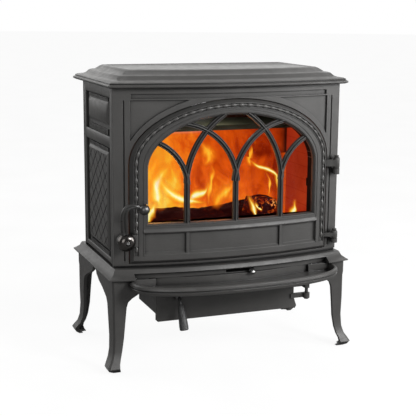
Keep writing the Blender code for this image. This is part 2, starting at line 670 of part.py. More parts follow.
def build_handle_details():
    centre = (HANDLE_X + 0.0335, -0.2000, HANDLE_Z + 0.0812)
    knob = ball("knob", centre, 0.0128, 10, 20)
    hole = sweep("hole", [(HANDLE_X + 0.011, -0.2000, HANDLE_Z + 0.0905),
                          (HANDLE_X + 0.0215, -0.2000, HANDLE_Z + 0.0870)], [0.0064, 0.0056], 10, None, 0.9)
    cut(knob, hole)
    done(knob, "door_handle_knob", DARK_STEEL)
    screw = turned("screw", "y", (HANDLE_X, 0.0, HANDLE_Z),
                   [(-0.1793, 0.0044), (-0.1830, 0.0044), (-0.1846, 0.0032), (-0.1852, 0.0014)], 16)
    done(screw, "door_handle_screw", STEEL)
    cam = turned("cam", "y", (HANDLE_X + 0.0015, 0.0, HANDLE_Z), [(-0.1520, 0.0068), (-0.1470, 0.0068)], 20)
    done(cam, "door_latch_cam", STEEL)


# ---------------------------------------------------------------- ash house and its door
def build_ash_house():
    house = box("house", (-ASH_HALF, ASH_FRONT, ASH_BOTTOM), (ASH_HALF, ASH_BACK, 0.2354))
    flange = box("flange", (-ASH_HALF - 0.016, ASH_FRONT, 0.2324),
                 (ASH_HALF + 0.016, ASH_BACK + 0.016, 0.2354))
    add(house, flange)
    cut(house, box("inside", (-ASH_HALF + 0.003, ASH_FRONT - 0.02, ASH_BOTTOM + 0.003),
                   (ASH_HALF - 0.003, ASH_BACK - 0.003, 0.260)))
    return done(house, "ash_house", IRON)


def build_ash_door():
    y0, y1 = ASH_FRONT - 0.0083, ASH_FRONT - 0.0010
    outline = [(-ASH_DOOR_HALF, ASH_DOOR_BOTTOM + 0.004), (-ASH_DOOR_HALF + 0.004, ASH_DOOR_BOTTOM),
               (ASH_DOOR_HALF - 0.004, ASH_DOOR_BOTTOM), (ASH_DOOR_HALF + 0.004, ASH_DOOR_BOTTOM - 0.002),
               (ASH_DOOR_HALF + 0.008, ASH_DOOR_BOTTOM + 0.005), (ASH_DOOR_HALF, 0.128),
               (ASH_DOOR_HALF, ASH_DOOR_TOP), (-ASH_DOOR_HALF, ASH_DOOR_TOP)]
    door = prism_y("ash_door", outline, y0, y1)
    cut(door, box("hollow", (-ASH_DOOR_HALF + 0.006, y0 + 0.0033, ASH_DOOR_BOTTOM + 0.007),
                  (ASH_DOOR_HALF - 0.006, y1 + 0.01, ASH_BOTTOM - 0.002)))
    for low, high in ((0.1240, 0.1375), (0.1760, 0.1880)):
        arm = box("arm", (ASH_DOOR_HALF - 0.010, y0 - 0.0035, low + 0.001),
                  (ASH_HINGE_X, y0 + 0.0040, high - 0.001))
        eye = turned("eye", "z", (ASH_HINGE_X, ASH_HINGE_Y, 0.0), [(low, 0.0085), (high, 0.0085)], 20)
        add(arm, eye)
        add(door, arm)
        cut(door, turned("bore", "z", (ASH_HINGE_X, ASH_HINGE_Y, 0.0),
                         [(low - 0.01, 0.0045), (high + 0.01, 0.0045)], 16))
    boss = turned("boss", "y", (ASH_HANDLE_X, 0.0, ASH_HANDLE_Z),
                  [(y0 - 0.006, 0.0100), (y0 + 0.001, 0.0115)], 20)
    add(door, boss)
    cut(door, turned("bore", "y", (ASH_HANDLE_X, 0.0, ASH_HANDLE_Z), [(-0.2, 0.0048), (0.0, 0.0048)], 16))
    return set_origin(done(door, "ash_door", IRON), (ASH_HINGE_X, ASH_HINGE_Y, ASH_DOOR_BOTTOM))


def build_ash_hinge_post():
    """Hinge pin on a bent bracket that reaches round the ash door from the side of the house."""
    x, y = ASH_HINGE_X, ASH_HINGE_Y
    post = turned("post", "z", (x, y, 0.0),
                  [(0.1215, 0.0060), (0.1235, 0.0060), (0.1236, 0.0042), (0.1915, 0.0042)], 16)
    low, high = 0.1500, 0.1630
    reach = box("reach", (ASH_HALF + GAP, ASH_FRONT + 0.001, low), (x + 0.006, ASH_FRONT + 0.009, high))
    tip = box("tip", (x - 0.006, y - 0.005, low), (x + 0.006, ASH_FRONT + 0.009, high))
    add(reach, tip)
    return done(add(post, reach), "ash_hinge_post", IRON)


def build_ash_handle():
    y0 = ASH_FRONT - 0.0083 - 0.006 - GAP
    shaft = turned("shaft", "y", (ASH_HANDLE_X, 0.0, ASH_HANDLE_Z),
                   [(-0.1040, 0.0045), (y0, 0.0045), (y0 - 0.0001, 0.0085), (y0 - 0.008, 0.0085),
                    (y0 - 0.010, 0.0065)], 16)
    bend_at = Vector((ASH_HANDLE_X + 0.001, y0 - 0.016, ASH_HANDLE_Z - 0.013))
    bottom = Vector((ASH_HANDLE_X + 0.005, y0 - 0.034, ASH_HANDLE_Z - 0.0790))
    along = (bottom - bend_at).normalized()
    neck_end = bend_at + along * 0.003
    neck = sweep("neck", [(ASH_HANDLE_X, y0 - 0.004, ASH_HANDLE_Z),
                          (ASH_HANDLE_X + 0.0004, y0 - 0.010, ASH_HANDLE_Z - 0.006), bend_at, neck_end],
                 [0.0052, 0.0046, 0.0042, 0.0042], 10)
    add(shaft, neck)
    set_origin(done(shaft, "ash_handle_shaft", DARK_STEEL), (ASH_HANDLE_X, -0.128, ASH_HANDLE_Z))
    top = neck_end + along * GAP
    steps = [(0.0, 0.0046), (0.06, 0.0062), (0.25, 0.0082), (0.55, 0.0100), (0.85, 0.0112), (0.97, 0.0108),
             (1.0, 0.0085)]
    grip = sweep("grip", [top.lerp(bottom, t) for t, _ in steps], [r for _, r in steps], 16)
    done(grip, "ash_handle_grip", DARK_STEEL)
    cam = box("ash_cam", (ASH_HANDLE_X - 0.018, -0.1075, ASH_HANDLE_Z - 0.006),
              (ASH_HANDLE_X + 0.008, -0.1045, ASH_HANDLE_Z + 0.006))
    cut(cam, turned("bore", "y", (ASH_HANDLE_X, 0.0, ASH_HANDLE_Z), [(-0.2, 0.0048), (0.0, 0.0048)], 16))
    done(cam, "ash_latch_cam", STEEL)


def build_ash_pan():
    low = (-0.165, -0.110, ASH_BOTTOM + 0.0034)
    high = (0.165, 0.030, 0.1750)
    pan = box("pan", low, high)
    cut(pan, box("hollow", (low[0] + 0.002, low[1] + 0.002, low[2] + 0.002),
                 (high[0] - 0.002, high[1] - 0.002, 0.3)))
    cut(pan, box("latch_room", (ASH_HANDLE_X - 0.03, -0.12, 0.145), (ASH_HANDLE_X + 0.03, -0.1020, 0.3)))
    return done(pan, "ash_pan", PLAIN_IRON)


# ---------------------------------------------------------------- air control
def build_air_control():
    shutter = box("shutter", (AIR_X - 0.040, -0.1560, 0.2321), (AIR_X + 0.040, -0.1310, 0.2351))
    done(shutter, "air_shutter", PLAIN_IRON)
    lever = box("lever", (AIR_X - 0.006, -0.1950, AIR_Z - 0.0025), (AIR_X + 0.006, -0.1340, AIR_Z + 0.0025))
    pad = box("pad", (AIR_X - 0.010, -0.1520, AIR_Z), (AIR_X + 0.010, -0.1340, 0.2318))
    add(lever, pad)
    done(lever, "air_lever", DARK_STEEL)
    knob = ball("knob", (AIR_X, -0.2012, AIR_Z - 0.0035), 0.0065, 8, 16)
    cut(knob, box("slot", (AIR_X - 0.0063, -0.20, AIR_Z - 0.0028), (AIR_X + 0.0063, -0.18, AIR_Z + 0.02)))
    done(knob, "air_lever_knob", STEEL)


# ---------------------------------------------------------------- inside the firebox
def build_firebox():
    floor = BASE_TOP + GAP
    for name, side in (("burn_plate_left", -1), ("burn_plate_right", 1)):
        x0, x1 = sorted((side * 0.2640, side * 0.2785))
        plate = box(name, (x0, -0.0900, floor), (x1, 0.1050, BAFFLE_Z - GAP))
        done(plate, name, STONE)
    plate = box("burn_plate_back", (-0.2785, 0.1056, floor), (0.2785, 0.1260, 0.4600))
    done(plate, "burn_plate_back", STONE)
    baffle = box("baffle_plate", (-0.2785, -0.0700, BAFFLE_Z), (0.2785, 0.0900, BAFFLE_Z + 0.0120))
    done(baffle, "baffle_plate", PLAIN_IRON)
    grate = box("grate", (-0.1392, GRATE_Y - 0.0572, 0.2410), (0.1392, GRATE_Y + 0.0572, 0.2480))
    for i in range(9):
        x = -0.1120 + i * 0.0280
        cut(grate, box("slot", (x - 0.0070, GRATE_Y - 0.0440, 0.2), (x + 0.0070, GRATE_Y + 0.0440, 0.3)))
    done(grate, "grate", PLAIN_IRON)
    retainer = box("log_retainer", (-0.2450, -0.0960, floor), (0.2450, -0.0910, 0.3000))
    done(retainer, "log_retainer", PLAIN_IRON)


def build_hinge_pins():
    for name, low, high in (("hinge_pin_upper", 0.4430, 0.4890), ("hinge_pin_lower", 0.2680, 0.3025)):
        pin = turned(name, "z", (HINGE_X, HINGE_Y, 0.0), [(low, PIN_R), (high - 0.0012, PIN_R),
                     (high - 0.0010, 0.0058), (high + 0.0015, 0.0058), (high + 0.0030, 0.0030)], 16)
        done(pin, name, IRON)


# ---------------------------------------------------------------- assembly
build_top_plate()
build_base_plate()
build_leg("leg_front_left", -1, True)
build_leg("leg_front_right", 1, True)
build_leg("leg_back_left", -1, False)
build_leg("leg_back_right", 1, False)
build_ash_lip()
build_front_frame()
build_side_panel("side_panel_left", -1)
build_side_panel("side_panel_right", 1)
build_back_plate()
build_flue_collar()
build_door()
build_tracery()
build_door_glass()
build_glass_gasket()
build_glass_clip("glass_clip_left", -WINDOW_HALF - 0.0105, 0.420, math.pi)
build_glass_clip("glass_clip_right", WINDOW_HALF + 0.0105, 0.420, 0.0)
build_glass_clip("glass_clip_bottom_left", -0.110, WINDOW_SILL - 0.0105, -math.pi / 2)
build_glass_clip("glass_clip_bottom_right", 0.110, WINDOW_SILL - 0.0105, -math.pi / 2)
build_door_handle()
build_handle_details()
build_hinge_pins()
build_ash_house()
build_ash_door()
build_ash_hinge_post()
build_ash_handle()
build_ash_pan()
build_air_control()
build_firebox()

for piece in bpy.context.scene.objects:
    piece.location.y += ORIGIN_SHIFT
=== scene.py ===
"""Looks of the cast-iron wood burning stove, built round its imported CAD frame."""

import math

import bmesh
import bpy
from mathutils import Matrix, Vector, noise


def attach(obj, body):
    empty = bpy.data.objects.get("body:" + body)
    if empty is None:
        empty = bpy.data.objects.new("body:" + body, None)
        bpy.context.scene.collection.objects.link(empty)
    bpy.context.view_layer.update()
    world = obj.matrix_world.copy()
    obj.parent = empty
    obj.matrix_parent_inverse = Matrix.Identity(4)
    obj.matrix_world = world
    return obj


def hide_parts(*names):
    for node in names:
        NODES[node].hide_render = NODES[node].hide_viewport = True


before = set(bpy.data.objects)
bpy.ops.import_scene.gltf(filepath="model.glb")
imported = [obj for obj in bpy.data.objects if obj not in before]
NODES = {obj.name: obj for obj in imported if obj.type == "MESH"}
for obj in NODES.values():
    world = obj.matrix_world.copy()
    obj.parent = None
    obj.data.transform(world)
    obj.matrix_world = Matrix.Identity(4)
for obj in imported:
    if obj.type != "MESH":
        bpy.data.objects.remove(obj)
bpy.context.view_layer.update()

# ---------------------------------------------------------------- shared dimensions (metres)
FRONT = -0.084          # front face of the body at its corners
BODY_HALF = 0.2914      # half width of the bowed front
BOW = 0.039             # how far the middle of the front stands ahead of its corners
# arched window opening in the door: half width, rise of the arch, height of its spring line and of its sill
WINDOW_HALF, WINDOW_RISE, WINDOW_SPRING, WINDOW_SILL = 0.219, 0.131, 0.479, 0.346
MULLION_X = 0.121       # outer mullions, either side of the middle one
PANE = -0.0636          # plane of the pane, where the lining of the window opening ends
HANDLE = Vector((-0.270, -0.1145, 0.314))       # foot of the door handle's hub, on its axis

CREASE = 34             # degrees at which a CAD node keeps a hard edge
FINE_CREASE = 38        # the same for the drawn mouldings
# colour of the painted shade that darkens crevices and recesses of the iron
CREVICE_SHADE = (0.004, 0.004, 0.004, 1.0)


def bowed(x, depth, z):
    """A point given on the flat front, carried to the bowed front; depth is negative towards the viewer."""
    return Vector((x, FRONT + depth - BOW * (1.0 - (x / BODY_HALF) ** 2), z))


# ---------------------------------------------------------------- shader helpers
class Shader:
    """Small wrapper that builds a node material, or the world when one is given."""

    def __init__(self, name, world=None):
        self.mat = world or bpy.data.materials.new(name)
        self.mat.use_nodes = True
        self.tree = self.mat.node_tree
        self.tree.nodes.clear()
        self.out = self.add("ShaderNodeOutputWorld" if world else "ShaderNodeOutputMaterial")
        self.place = self.add("ShaderNodeTexCoord").outputs["Generated" if world else "Object"]

    def add(self, kind, values=None, **props):
        made = self.tree.nodes.new(kind)
        for key, value in props.items():
            setattr(made, key, value)
        for key, value in (values or {}).items():
            self.set(made, key, value)
        return made

    def set(self, made, key, value):
        """Link a socket, or store a plain value."""
        socket = made.inputs[key]
        if isinstance(value, bpy.types.NodeSocket):
            self.tree.links.new(value, socket)
        else:
            socket.default_value = value

    def math(self, operation, a, b=0.0):
        return self.add("ShaderNodeMath", {0: a, 1: b}, operation=operation).outputs[0]

    def mapped(self, scale, turn=(0, 0, 0)):
        """Stretched coordinates: a scale below one draws the pattern out along that axis."""
        return self.add("ShaderNodeMapping", {"Vector": self.place, "Scale": scale,
                                              "Rotation": turn}).outputs[0]

    def noise(self, scale, detail=4.0, rough=0.55, vector=None, distort=0.0):
        return self.add("ShaderNodeTexNoise", {"Vector": vector or self.place, "Scale": scale,
                                               "Detail": detail, "Roughness": rough,
                                               "Distortion": distort}).outputs["Fac"]

    def cracks(self, scale, vector=None):
        return self.add("ShaderNodeTexVoronoi", {"Vector": vector or self.place, "Scale": scale},
                        feature="DISTANCE_TO_EDGE").outputs["Distance"]

    def ramp(self, fac, stops):
        made = self.add("ShaderNodeValToRGB", {"Fac": fac})
        line = made.color_ramp.elements
        while len(line) < len(stops):
            line.new(0.5)
        for element, (at, colour) in zip(line, stops):
            element.position = at
            element.color = (*colour, 1.0)
        return made.outputs["Color"]

    def scale(self, fac, low, high, to_low=0.0, to_high=1.0):
        """Map low..high to to_low..to_high and hold the ends; low may be above high."""
        return self.add("ShaderNodeMapRange", {0: fac, 1: low, 2: high, 3: to_low, 4: to_high}).outputs[0]

    def bump(self, height, strength, distance, normal=None):
        values = {"Height": height, "Strength": strength, "Distance": distance}
        if normal is not None:
            values["Normal"] = normal
        return self.add("ShaderNodeBump", values).outputs[0]

    def mix(self, fac, first, second):
        return self.add("ShaderNodeMixShader", {0: fac, 1: first, 2: second}).outputs[0]

    def finish(self, shader):
        self.tree.links.new(shader, self.out.inputs["Surface"])
        return self.mat

    def surface(self, values):
        return self.finish(self.add("ShaderNodeBsdfPrincipled", values).outputs[0])


def grey(value, tint=(1.0, 1.0, 1.0)):
    return tuple(value * t for t in tint)


# ---------------------------------------------------------------- materials
def cast_iron(name, dark, light, tint, rough, grain=0.35, gloss=0.5, brushed=False, reach=0.013):
    """Painted or bare cast iron: slow tone drift, sand-cast grain, uneven sheen, and painted shade that
    darkens its crevices and recesses.

    dark and light bound the tone, and reach is how far in metres the painted shade looks for nearby surfaces.
    """
    s = Shader(name)
    drift = s.noise(9.0, 5.0, 0.6)
    fleck = s.noise(420.0, 3.0, 0.6)
    mixed = s.math("ADD", s.math("MULTIPLY", drift, 0.7), s.math("MULTIPLY", fleck, 0.3))
    pits = s.math("ADD", s.noise(900.0, 2.0), s.math("MULTIPLY", s.noise(190.0, 4.0), 1.4))
    if brushed:
        above_panel, in_panel = 0.338, 0.326      # the brushed grain starts below the window sill
        height = s.add("ShaderNodeSeparateXYZ", {"Vector": s.place}).outputs["Z"]
        streaks = s.noise(420.0, 3.0, vector=s.mapped((0.05, 0.4, 1.0)))
        streaks = s.math("MULTIPLY", streaks, s.scale(height, above_panel, in_panel))
        mixed = s.math("ADD", mixed, s.math("MULTIPLY", s.math("SUBTRACT", streaks, 0.45), 0.22))
        pits = s.math("ADD", pits, s.math("MULTIPLY", streaks, 2.6))
    colour = s.ramp(mixed, [(0.32, grey(dark, tint)), (0.68, grey(light, tint))])
    # painted shade: ambient occlusion pulls the colour towards near-black in crevices, recesses and under
    # overhangs
    open_air = s.add("ShaderNodeAmbientOcclusion", {"Distance": reach}, samples=8).outputs["AO"]
    painted_shade = s.scale(open_air, 0.92, 0.38, 0.0, 0.88)
    colour = s.add("ShaderNodeMixRGB", {0: painted_shade, 1: colour, 2: CREVICE_SHADE}).outputs[0]
    sheen = s.scale(s.noise(55.0, 4.0), 0.3, 0.7, rough - 0.05, rough + 0.07)
    rounded = s.add("ShaderNodeBevel", {"Radius": 0.0016}, samples=6).outputs[0]
    return s.surface({"Base Color": colour, "Roughness": sheen, "Specular IOR Level": gloss,
                      "Normal": s.bump(pits, grain, 0.00022, rounded)})


def metal(name, dark, light, rough, tint=(1.0, 1.0, 1.0), grain=0.08):
    """Plated or polished metal with fine handling marks."""
    s = Shader(name)
    cloud = s.noise(60.0, 4.0)
    colour = s.ramp(cloud, [(0.3, grey(dark, tint)), (0.7, grey(light, tint))])
    marks = s.noise(300.0, 3.0, vector=s.mapped((1.0, 1.0, 0.12)))
    sheen = s.scale(marks, 0.3, 0.7, rough * 0.8, rough * 1.3)
    return s.surface({"Base Color": colour, "Metallic": 1.0, "Roughness": sheen,
                      "Normal": s.bump(marks, grain, 0.0001)})


def knurled(name):
    """Fine hammered texture of the ash handle grip."""
    s = Shader(name)
    cells = s.cracks(620.0)
    colour = s.ramp(s.noise(240.0, 3.0), [(0.3, grey(0.055)), (0.7, grey(0.11))])
    return s.surface({"Base Color": colour, "Metallic": 0.35, "Roughness": 0.42,
                      "Normal": s.bump(cells, 0.7, 0.0006)})


def fire_brick(name, glow, dim_firelight, hot_and_firelit):
    """Pressed fire board with a faint brick pattern, sooty at the joints, and painted firelight: an
    orange-red glow in its colour for the fire's light falling on it.
    """
    s = Shader(name)
    flat = s.mapped((1.0, 1.0, 1.0), turn=(math.radians(90), 0, 0))
    bricks = s.add("ShaderNodeTexBrick", {"Vector": flat, "Scale": 1.0, "Mortar Size": 0.0014,
                                          "Brick Width": 0.095, "Row Height": 0.034,
                                          "Mortar Smooth": 0.6})
    joint = s.math("MULTIPLY", bricks.outputs["Fac"], 0.30)
    drift = s.noise(7.0, 5.0, 0.6)
    soot = s.math("MULTIPLY", s.math("SUBTRACT", 1.0, joint), s.scale(drift, 0.3, 0.7, 0.30, 1.0))
    colour = s.ramp(soot, [(0.2, (0.05, 0.025, 0.014)), (0.95, (0.19, 0.11, 0.06))])
    # painted firelight: emission standing in for the fire's light on the board, brightest where it is least
    # sooty
    heat_and_painted_firelight = s.ramp(soot, [(0.25, dim_firelight), (0.95, hot_and_firelit)])
    return s.surface({"Base Color": colour, "Roughness": 0.9, "Specular IOR Level": 0.1,
                      "Emission Color": heat_and_painted_firelight, "Emission Strength": glow,
                      "Normal": s.bump(s.math("ADD", soot, s.noise(160.0, 3.0)), 0.4, 0.001)})


def clear_glass():
    """Heat-proof pane: a faint reflection with a patchy trace of soot."""
    s = Shader("clear_pane")
    haze = s.ramp(s.noise(7.0, 4.0), [(0.3, (0.93, 0.92, 0.90)), (0.75, (0.99, 0.985, 0.975))])
    through = s.add("ShaderNodeBsdfTransparent", {"Color": haze})
    flat = s.add("ShaderNodeNewGeometry").outputs["True Normal"]
    mirror = s.add("ShaderNodeBsdfGlossy", {"Roughness": 0.06, "Color": (0.9, 0.92, 0.95, 1.0),
                                            "Normal": flat})
    facing = s.add("ShaderNodeFresnel", {"IOR": 1.16, "Normal": flat})
    return s.finish(s.mix(facing.outputs[0], through.outputs[0], mirror.outputs[0]))


def woven_rope():
    """Braided glass-fibre rope of the pane's gasket."""
    s = Shader("glass_rope")
    strand = s.math("SINE", s.math("MULTIPLY", s.noise(60.0, 2.0), 60.0))
    colour = s.ramp(s.noise(500.0, 3.0), [(0.3, grey(0.05)), (0.7, grey(0.16))])
    return s.surface({"Base Color": colour, "Roughness": 0.9, "Normal": s.bump(strand, 0.5, 0.0006)})


def charred(name, glow, scale, width, reach):
    """Burnt wood: near-black char with a plum cast, split by ragged fissures, a few of them glowing.

    width is that of the glowing fissures, and reach is how much of the wood has any.
    """
    s = Shader(name)
    grain = s.mapped((0.40, 1.0, 1.0))
    ridge = s.math("ABSOLUTE", s.math("SUBTRACT", s.noise(scale, 5.0, 0.62, grain, 0.8), 0.5))
    relief = s.math("ADD", s.math("MULTIPLY", ridge, 3.0), s.math("MULTIPLY", s.noise(110.0, 5.0), 0.5))
    shade = s.ramp(relief, [(0.2, (0.004, 0.002, 0.003)), (0.5, (0.014, 0.005, 0.006)),
                            (0.9, (0.042, 0.015, 0.014))])
    hot_and_firelit = s.scale(s.noise(15.0, 4.0, 0.6), 0.60 - reach, 0.80 - reach)
    heat_and_painted_firelight = s.math("MULTIPLY", s.scale(ridge, width, 0.0), hot_and_firelit)
    colour = s.ramp(heat_and_painted_firelight, [(0.0, (0.10, 0.006, 0.006)), (0.30, (0.55, 0.035, 0.004)),
                           (0.65, (1.0, 0.22, 0.015)), (1.0, (1.0, 0.70, 0.20))])
    return s.surface({"Base Color": shade, "Roughness": 0.9, "Specular IOR Level": 0.0,
                      "Emission Color": colour,
                      "Emission Strength": s.math("MULTIPLY", s.math("ADD", heat_and_painted_firelight, 0.10), glow),
                      "Normal": s.bump(ridge, 0.9, 0.006)})


def flame_material(name, core, wisps):
    """Glowing gas: brightest along the middle of each tongue, thinning to nothing at its edges.

    core is how near to white the middle comes, and wisps is how much the edges break up.
    """
    s = Shader(name)
    split = s.add("ShaderNodeSeparateXYZ", {"Vector": s.add("ShaderNodeUVMap", uv_map="flow").outputs[0]})
    across, along = split.outputs["X"], split.outputs["Y"]
    off_middle = s.math("ABSOLUTE", s.math("SUBTRACT", s.math("MULTIPLY", across, 2.0), 1.0))
    middle = s.math("SUBTRACT", 1.0, off_middle)
    fade = s.math("MULTIPLY", s.scale(along, 0.0, 0.25), s.scale(along, 1.0, 0.55))
    lick = s.noise(30.0, 4.0, 0.6, vector=s.mapped((1.0, 1.0, 0.40)), distort=1.0)
    body = s.math("MULTIPLY", s.math("POWER", middle, 1.25), fade)
    dense = s.math("MULTIPLY", body, s.scale(lick, 0.25, 0.72, 1.0 - wisps, 1.1))
    tone = s.math("MULTIPLY", dense, core)
    colour = s.ramp(tone, [(0.04, (0.75, 0.10, 0.004)), (0.28, (1.0, 0.26, 0.010)),
                           (0.52, (1.0, 0.52, 0.030)), (0.72, (1.0, 0.80, 0.16)),
                           (0.95, (1.0, 0.97, 0.62))])
    light = s.add("ShaderNodeEmission", {"Color": colour, "Strength": 1.05})
    clear = s.add("ShaderNodeBsdfTransparent")
    return s.finish(s.mix(s.scale(dense, 0.01, 0.62), clear.outputs[0], light.outputs[0]))


def blaze_material():
    """The body of the fire: rolling orange light, yellow on the left and deep red on the right.

    It fades out towards the top and the two sides of the curtain.
    """
    s = Shader("blaze")
    split = s.add("ShaderNodeSeparateXYZ", {"Vector": s.place})
    x, z = split.outputs["X"], split.outputs["Z"]
    roll = s.noise(7.5, 5.0, 0.58, vector=s.mapped((1.0, 1.0, 0.65)), distort=1.6)
    fine = s.noise(21.0, 5.0, 0.62, vector=s.mapped((1.0, 1.0, 0.50)), distort=1.4)
    rolling = s.math("MULTIPLY", s.scale(roll, 0.28, 0.72), 0.40)
    heat_and_painted_firelight = s.math("ADD", rolling, s.math("MULTIPLY", fine, 0.38))
    on_the_left = s.math("MULTIPLY", s.scale(x, -0.01, -0.17), s.scale(z, 0.55, 0.38, 0.20, 0.60))
    low_down = s.scale(z, 0.42, 0.31, 0.05, 0.20)
    on_the_right = s.scale(x, 0.08, 0.23, 0.0, 0.20)
    heat_and_painted_firelight = s.math("ADD", heat_and_painted_firelight, on_the_left)
    heat_and_painted_firelight = s.math("ADD", heat_and_painted_firelight, low_down)
    heat_and_painted_firelight = s.math("SUBTRACT", heat_and_painted_firelight, on_the_right)
    colour = s.ramp(heat_and_painted_firelight, [(0.16, (0.20, 0.010, 0.001)), (0.32, (0.48, 0.040, 0.002)),
                           (0.46, (0.78, 0.100, 0.004)), (0.60, (0.98, 0.225, 0.010)),
                           (0.78, (1.0, 0.45, 0.025)), (0.95, (1.0, 0.82, 0.12))])
    edge = s.math("MULTIPLY", s.scale(z, 0.556, 0.530), s.scale(s.math("ABSOLUTE", x), 0.240, 0.205))
    thick = s.math("MULTIPLY", edge, s.scale(fine, 0.35, 0.65, 0.93, 1.0))
    light = s.add("ShaderNodeEmission", {"Color": colour, "Strength": 1.0})
    clear = s.add("ShaderNodeBsdfTransparent")
    return s.finish(s.mix(thick, clear.outputs[0], light.outputs[0]))


def floor_material():
    """Pale sweep: reads as a clean white ground with a trace of contact shadow."""
    s = Shader("studio_floor")
    tone = s.ramp(s.noise(3.0, 3.0), [(0.3, grey(0.10)), (0.7, grey(0.13))])
    seen = s.add("ShaderNodeAddShader", {0: s.add("ShaderNodeBsdfDiffuse", {"Color": tone}).outputs[0],
                                         1: s.add("ShaderNodeEmission", {"Strength": 0.90}).outputs[0]})
    bounce = s.add("ShaderNodeBsdfDiffuse", {"Color": (0.22, 0.22, 0.22, 1.0)})
    direct = s.add("ShaderNodeLightPath").outputs["Is Camera Ray"]
    return s.finish(s.mix(direct, bounce.outputs[0], seen.outputs[0]))


WARM = (1.03, 1.0, 0.965)
PAINT = cast_iron("stove_paint", 0.050, 0.072, WARM, 0.43)
DOOR_PAINT = cast_iron("door_paint", 0.050, 0.072, WARM, 0.43, brushed=True)
PAINT_SMOOTH = cast_iron("stove_paint_smooth", 0.052, 0.070, WARM, 0.37, 0.18)
# lighter copy of the stove paint for the beads: painted highlight, as where light catches their tops
BEAD_PAINT_HIGHLIGHTED = cast_iron("bead_paint_highlighted", 0.070, 0.100, WARM, 0.33, 0.15, reach=0.003)
# near-black iron for the window lining: painted shade
REVEAL_SHADE = cast_iron("reveal_painted_shade", 0.005, 0.012, (1.25, 0.9, 0.85), 0.8, 0.4, 0.15)
# darker copy of the stove paint for the lever: painted shade
LEVER_PAINT_SHADED = cast_iron("lever_paint_shaded", 0.030, 0.044, WARM, 0.30, 0.12, reach=0.006)
SOOTY = cast_iron("sooty_iron", 0.018, 0.040, (1.05, 1.0, 0.9), 0.7, 0.5, 0.3)
# light olive-tan iron for the baffle plate
OLIVE = cast_iron("olive_tan_iron", 0.060, 0.095, (1.0, 1.02, 0.70), 0.7, 0.4, 0.3)
NICKEL = metal("dark_nickel", 0.070, 0.115, 0.17, (1.08, 1.0, 0.95))
STEEL = metal("polished_steel", 0.62, 0.75, 0.12)
SATIN = metal("satin_dark_steel", 0.10, 0.17, 0.34)
GRIP = knurled("textured_grip")
GLASS = clear_glass()
ROPE = woven_rope()
# the fire's light on the boards is painted in as emission; the side boards get a dimmer, deeper red share
# than the back
BRICK_BACK = fire_brick("fire_brick_back", 0.85, (0.42, 0.030, 0.002), (0.85, 0.125, 0.006))
BRICK_SIDE = fire_brick("fire_brick_side", 0.80, (0.24, 0.010, 0.003), (0.42, 0.026, 0.006))
CHAR = charred("charred_wood", 0.80, 42.0, 0.030, 0.07)
CHAR_BLOCK = charred("split_charcoal", 1.7, 60.0, 0.026, 0.17)
EMBERS = charred("ember_bed", 0.80, 48.0, 0.040, 0.10)
BLAZE = blaze_material()
FLAME_HOT = flame_material("flame_hot", 1.10, 0.25)
FLAME = flame_material("flame_orange", 0.62, 0.55)


# ---------------------------------------------------------------- CAD nodes: finish and shading
def dress(material, *names):
    """Give CAD nodes a material and smooth shading between hard edges."""
    for name in names:
        obj = NODES[name]
        for slot in obj.material_slots:
            slot.material = material
        mesh = obj.data
        if "custom_normal" in mesh.attributes:
            mesh.attributes.remove(mesh.attributes["custom_normal"])
        for poly in mesh.polygons:
            poly.use_smooth = True
        for edge in mesh.edges:
            edge.use_edge_sharp = False
        weld = obj.modifiers.new("weld", "WELD")
        weld.merge_threshold = 0.00002
        split = obj.modifiers.new("crease", "EDGE_SPLIT")
        split.split_angle = math.radians(CREASE)


dress(PAINT, "base_plate", "leg_front_left", "leg_front_right", "leg_back_left", "leg_back_right",
      "front_frame", "side_panel_left", "side_panel_right", "ash_house", "ash_door", "hinge_pin_upper",
      "hinge_pin_lower", "ash_hinge_post", "door_tracery")
dress(DOOR_PAINT, "door")
dress(PAINT_SMOOTH, "top_plate", "ash_lip")
dress(SOOTY, "back_plate", "flue_collar", "ash_pan", "grate", "log_retainer", "air_shutter")
dress(OLIVE, "baffle_plate")
dress(SATIN, "glass_clip_left", "glass_clip_right", "glass_clip_bottom_left", "glass_clip_bottom_right",
      "ash_handle_shaft", "air_lever")
dress(GRIP, "ash_handle_grip")
dress(STEEL, "door_handle_screw", "door_latch_cam", "ash_latch_cam", "air_lever_knob")
dress(GLASS, "door_glass")
dress(ROPE, "glass_gasket")
dress(BRICK_BACK, "burn_plate_back")
dress(BRICK_SIDE, "burn_plate_left", "burn_plate_right")
dress(NICKEL, "door_handle", "door_handle_knob")


# ---------------------------------------------------------------- mesh helpers
def piece(name, bm, material, body, crease=None):
    """Turn a mesh into a smooth-shaded object that rides on a body; crease is in degrees."""
    bmesh.ops.recalc_face_normals(bm, faces=bm.faces[:])
    mesh = bpy.data.meshes.new(name)
    bm.to_mesh(mesh)
    bm.free()
    mesh.materials.append(material)
    obj = bpy.data.objects.new(name, mesh)
    bpy.context.scene.collection.objects.link(obj)
    for poly in mesh.polygons:
        poly.use_smooth = True
    if crease:
        obj.modifiers.new("crease", "EDGE_SPLIT").split_angle = math.radians(crease)
    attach(obj, body)
    return obj


def skin(bm, rings, caps=True):
    """Faces between matching closed rings of points, with a cap on each end."""
    rows = [[bm.verts.new(p) for p in ring] for ring in rings]
    count = len(rows[0])
    for low, high in zip(rows, rows[1:]):
        for i in range(count):
            j = (i + 1) % count
            bm.faces.new((low[i], low[j], high[j], high[i]))
    if caps:
        bm.faces.new(rows[0][::-1])
        bm.faces.new(rows[-1])


def sheet(bm, rows):
    """Faces between neighbouring rows of vertices."""
    return [bm.faces.new((low[i], low[i + 1], high[i + 1], high[i]))
            for low, high in zip(rows, rows[1:]) for i in range(len(low) - 1)]


def around(items, i):
    """The items before and after the i-th one, or that one itself at an end."""
    return items[max(i - 1, 0)], items[min(i + 1, len(items) - 1)]


